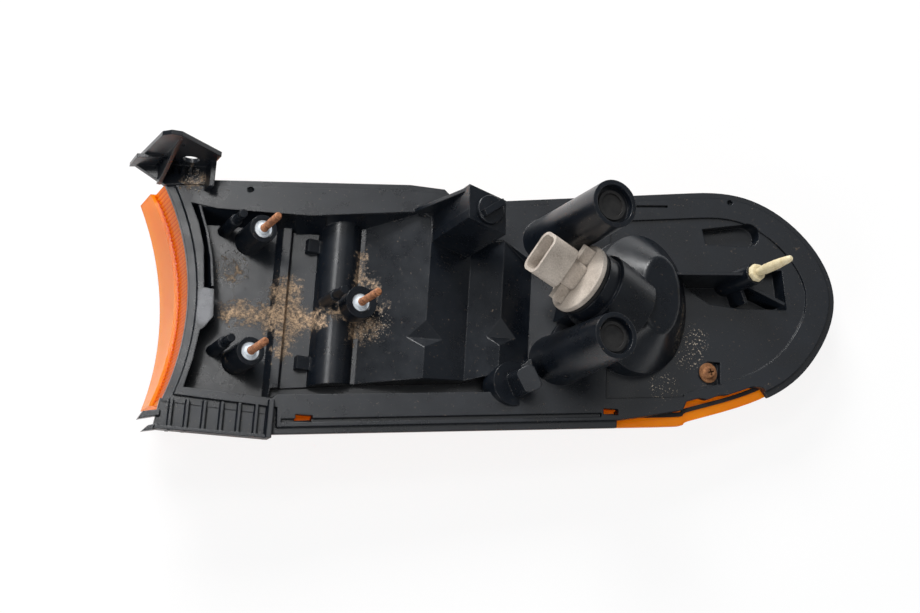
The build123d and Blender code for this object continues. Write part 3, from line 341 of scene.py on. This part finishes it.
# %% [markdown]
# ## Studs with real threads
# Each stud is a cold-headed steel bolt moulded into a boss: a zinc-plated collar, a small cone
# and a thread that has rusted brown. The solids have a smooth bar in its place. A bump map
# would fail at the outline, so the thread is geometry: a half outline spun into the bolt, and
# a small tooth spun upwards along a helix. One stud is made upright and placed three times.

# %% Stud pieces
DRAW_DIRECTION = Vector((0.438371, 0.0, 0.898794))
STUD_COLLARS = {"stud_upper": Vector((-111.974, 31.597, 60.651)) * MM,
                "stud_lower": Vector((-112.51, -33.403, 60.694)) * MM,
                "stud_middle": Vector((-60.249, -1.103, 48.083)) * MM}
THREAD_PITCH = 1.0 * MM      # a little coarser than the real 0.7 mm, so that it shows
THREAD_START, THREAD_END = 2.4 * MM, 23.0 * MM
BOLT_OUTLINE = [(0, -8.4), (2.6, -8.4), (2.6, -2.4), (5.0, -2.4), (5.0, -0.4), (4.6, 0), (3.1, 0),
                (2.2, 1.5), (1.6, 1.9), (1.6, 23.2), (1.2, 24.0), (0, 24.0)]
TOOTH = [(1.45, 0.0), (2.0, 0.32), (2.0, 0.46), (1.45, 0.78)]


def spun(bm, outline, steps):
    """Spins a half outline of radius and height in millimetres into a closed body about Z."""
    points = [bm.verts.new((r * MM, 0, z * MM)) for r, z in outline]
    edges = [bm.edges.new(pair) for pair in zip(points, points[1:])]
    bmesh.ops.spin(bm, geom=points + edges, cent=(0, 0, 0), axis=(0, 0, 1), angle=2 * math.pi,
                   steps=steps, use_merge=True)
    bmesh.ops.remove_doubles(bm, verts=bm.verts[:], dist=1e-6)
    bmesh.ops.recalc_face_normals(bm, faces=bm.faces[:])


def thread(bm, steps=18):
    """Spins the tooth up a helix and closes its two ends."""
    turns = (THREAD_END - THREAD_START) / THREAD_PITCH
    before = set(bm.faces)
    points = [bm.verts.new((r * MM, 0, THREAD_START + z * MM)) for r, z in TOOTH]
    edges = [bm.edges.new((points[i], points[(i + 1) % len(points)])) for i in range(len(points))]
    count = int(turns * steps)
    rise = (0, 0, THREAD_PITCH / steps)
    made = bmesh.ops.spin(bm, geom=points + edges, cent=(0, 0, 0), axis=(0, 0, 1), dvec=rise,
                          angle=2 * math.pi * count / steps, steps=count)
    last = [e for e in made["geom_last"] if isinstance(e, bmesh.types.BMEdge)]
    bmesh.ops.edgeloop_fill(bm, edges=edges)
    bmesh.ops.edgeloop_fill(bm, edges=last)
    bmesh.ops.recalc_face_normals(bm, faces=[f for f in bm.faces if f not in before])


def upright(point):
    """The matrix that stands a piece made along Z on a point of the lamp, along the draw."""
    turn = DRAW_DIRECTION.to_track_quat("Z", "Y").to_matrix().to_4x4()
    return Matrix.Translation(point) @ turn


def finished_piece(bm, name, place, body, materials, sharp=35.0):
    """Puts the mesh in its place on the lamp and makes it an object that rides on a body."""
    bmesh.ops.transform(bm, matrix=place, verts=bm.verts[:])
    mesh = bpy.data.meshes.new(name)
    bm.to_mesh(mesh)
    bm.free()
    for polygon in mesh.polygons:
        polygon.use_smooth = True
    mesh.set_sharp_from_angle(angle=math.radians(sharp))
    for material in materials:
        mesh.materials.append(material)
    piece = bpy.data.objects.new(name, mesh)
    bpy.context.scene.collection.objects.link(piece)
    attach(piece, body)
    return piece


rust = speckled("rusted_steel_thread", "#5a3322", "#cc8b5e", 2.5, 0.45, 0.55, metallic=0.2, relief=0.5,
                edge_mm=0.1)
zinc = speckled("zinc_plated_collar", "#c6d0da", "#f6fafd", 2.0, 0.5, 0.36, edge_mm=0.25)
for name, collar in STUD_COLLARS.items():
    bm = bmesh.new()
    spun(bm, BOLT_OUTLINE, 40)
    for face in bm.faces:
        face.material_index = 0 if face.calc_center_median().z < 1.55 * MM else 1
    smooth_bolt = set(bm.faces)
    thread(bm)
    for face in bm.faces:
        if face not in smooth_bolt:
            face.material_index = 1
    stud = finished_piece(bm, name + "_bolt", upright(collar), "lamp", [zinc, rust])
    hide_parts(name)
    print(stud.name, "faces:", len(stud.data.polygons))

# %% [markdown]
# ## Locating peg
# The peg is cream nylon, pressed into the boss at the round end: an eight-sided head and a
# stem that swells and then tapers to a blunt tip. The solid has a plain pin. The stem is a spun
# outline, and the head is a short eight-sided cone with its edges bevelled, as the real one
# shows moulded corners.

# %% Peg
PEG_TOP = Vector((142.879, 25.797, 50.981)) * MM
PEG_OUTLINE = [(0, -11.6), (2.4, -11.6), (2.4, -1.0), (1.9, 0.4), (2.2, 2.5), (2.6, 6.0), (2.6, 14.0),
               (2.3, 19.0), (1.9, 24.0), (1.6, 26.0), (1.1, 26.8), (0, 27.0)]
bm = bmesh.new()
head_place = Matrix.Translation((0, 0, -1.3 * MM)) @ Matrix.Rotation(math.radians(22.5), 4, "Z")
bmesh.ops.create_cone(bm, cap_ends=True, segments=8, radius1=5.0 * MM, radius2=4.4 * MM, depth=2.6 * MM,
                      matrix=head_place)
bmesh.ops.bevel(bm, geom=bm.edges[:], offset=0.45 * MM, offset_type="OFFSET", segments=3, profile=0.5,
                affect="EDGES", material=-1)
stem = bmesh.new()
spun(stem, PEG_OUTLINE, 32)
stem_mesh = bpy.data.meshes.new("peg_stem")
stem.to_mesh(stem_mesh)
stem.free()
bm.from_mesh(stem_mesh)
bpy.data.meshes.remove(stem_mesh)
nylon = speckled("cream_moulded_nylon", "#cdb98c", "#f3e7c4", 5, 0.7, 0.42, edge_mm=0.2)
peg = finished_piece(bm, "locating_peg", upright(PEG_TOP), "lamp", [nylon])
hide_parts("locating_clip")
print(peg.name, "faces:", len(peg.data.polygons))

# %% [markdown]
# ## Studio
# The lamp lies on a white sheet that runs out of the picture. The sheet is plain white, and for
# the camera it is lifted most of the way to white without putting more light on the lamp, so
# that it still takes the lamp's soft shadow. A wide soft light hangs overhead, a stronger one
# stands behind to the left, a small one puts narrow highlights on the ribs and tubes, and a weak
# one fills in from the front left. None stands where the sloping floor would mirror it.

# %% Floor, world and lights
SHEET_LIFT = 0.86     # how far the sheet is lifted to white for the camera
ROOM_LIGHT = 0.22     # white room round the lamp, as the lamp sees it


def white_sheet():
    material, tree, output, place = new_material("white_paper_sheet")
    fibre = add(tree, "ShaderNodeTexNoise", {"Vector": place, "Scale": per_mm(2), "Detail": 3.0})
    paper = add(tree, "ShaderNodeMix", {"Factor": fibre.outputs["Fac"], "A": linear("#f4f4f4"),
                "B": linear("#fafafa")}, data_type="RGBA")
    sheet = add(tree, "ShaderNodeBsdfPrincipled", {"Base Color": paper.outputs["Result"], "Roughness": 0.8})
    glow = add(tree, "ShaderNodeEmission", {"Color": (1, 1, 1, 1), "Strength": 1.0})
    rays = add(tree, "ShaderNodeLightPath")
    seen = add(tree, "ShaderNodeMath", {0: rays.outputs["Is Camera Ray"],
               1: rays.outputs["Is Transmission Ray"]}, operation="MAXIMUM")
    lift = add(tree, "ShaderNodeMath", {0: seen.outputs[0], 1: SHEET_LIFT}, operation="MULTIPLY")
    both = add(tree, "ShaderNodeMixShader", {0: lift.outputs[0], 1: sheet.outputs[0], 2: glow.outputs[0]})
    tree.links.new(both.outputs[0], output.inputs["Surface"])
    return material


bm = bmesh.new()
bmesh.ops.create_grid(bm, x_segments=1, y_segments=1, size=4.0)
floor_mesh = bpy.data.meshes.new("floor")
bm.to_mesh(floor_mesh)
bm.free()
floor_mesh.materials.append(white_sheet())
floor = bpy.data.objects.new("floor", floor_mesh)
bpy.context.scene.collection.objects.link(floor)

world = bpy.data.worlds.new("studio")
world.use_nodes = True
bpy.context.scene.world = world
tree = world.node_tree
tree.nodes.clear()
rays = add(tree, "ShaderNodeLightPath")
clear = add(tree, "ShaderNodeMath", {0: rays.outputs["Is Camera Ray"],
            1: rays.outputs["Is Transmission Ray"]}, operation="MAXIMUM")
strength = add(tree, "ShaderNodeMapRange", {"Value": clear.outputs[0], "To Min": ROOM_LIGHT, "To Max": 1.0})
sky = add(tree, "ShaderNodeBackground", {"Color": (0.94, 0.97, 1, 1),
          "Strength": strength.outputs["Result"]})
add(tree, "ShaderNodeOutputWorld", {"Surface": sky.outputs[0]})


def softbox(name, spot, size, watts):
    """A square area lamp aimed at the middle of the part."""
    lamp = bpy.data.lights.new(name, "AREA")
    lamp.shape = "SQUARE"
    lamp.size = size
    lamp.energy = watts
    box = bpy.data.objects.new(name, lamp)
    bpy.context.scene.collection.objects.link(box)
    box.location = spot
    box.rotation_euler = (Vector(spot) - LOOK_AT).to_track_quat("Z", "Y").to_euler()
    return box


softbox("softbox_over", (0.0, 0.3, 1.9), 2.0, 7.0)
softbox("softbox_back_left", (-0.5, 1.5, 1.1), 0.7, 34.0)
softbox("strip_over", (-0.32, 0.46, 1.5), 0.3, 4.0)
softbox("softbox_front_left", (-0.8, -1.1, 0.9), 0.6, 8.0)

# %% [markdown]
# ## Finish
# The view transform is Standard, so that a colour renders as it is written.

# %% Finish
bpy.context.scene.view_settings.view_transform = "Standard"
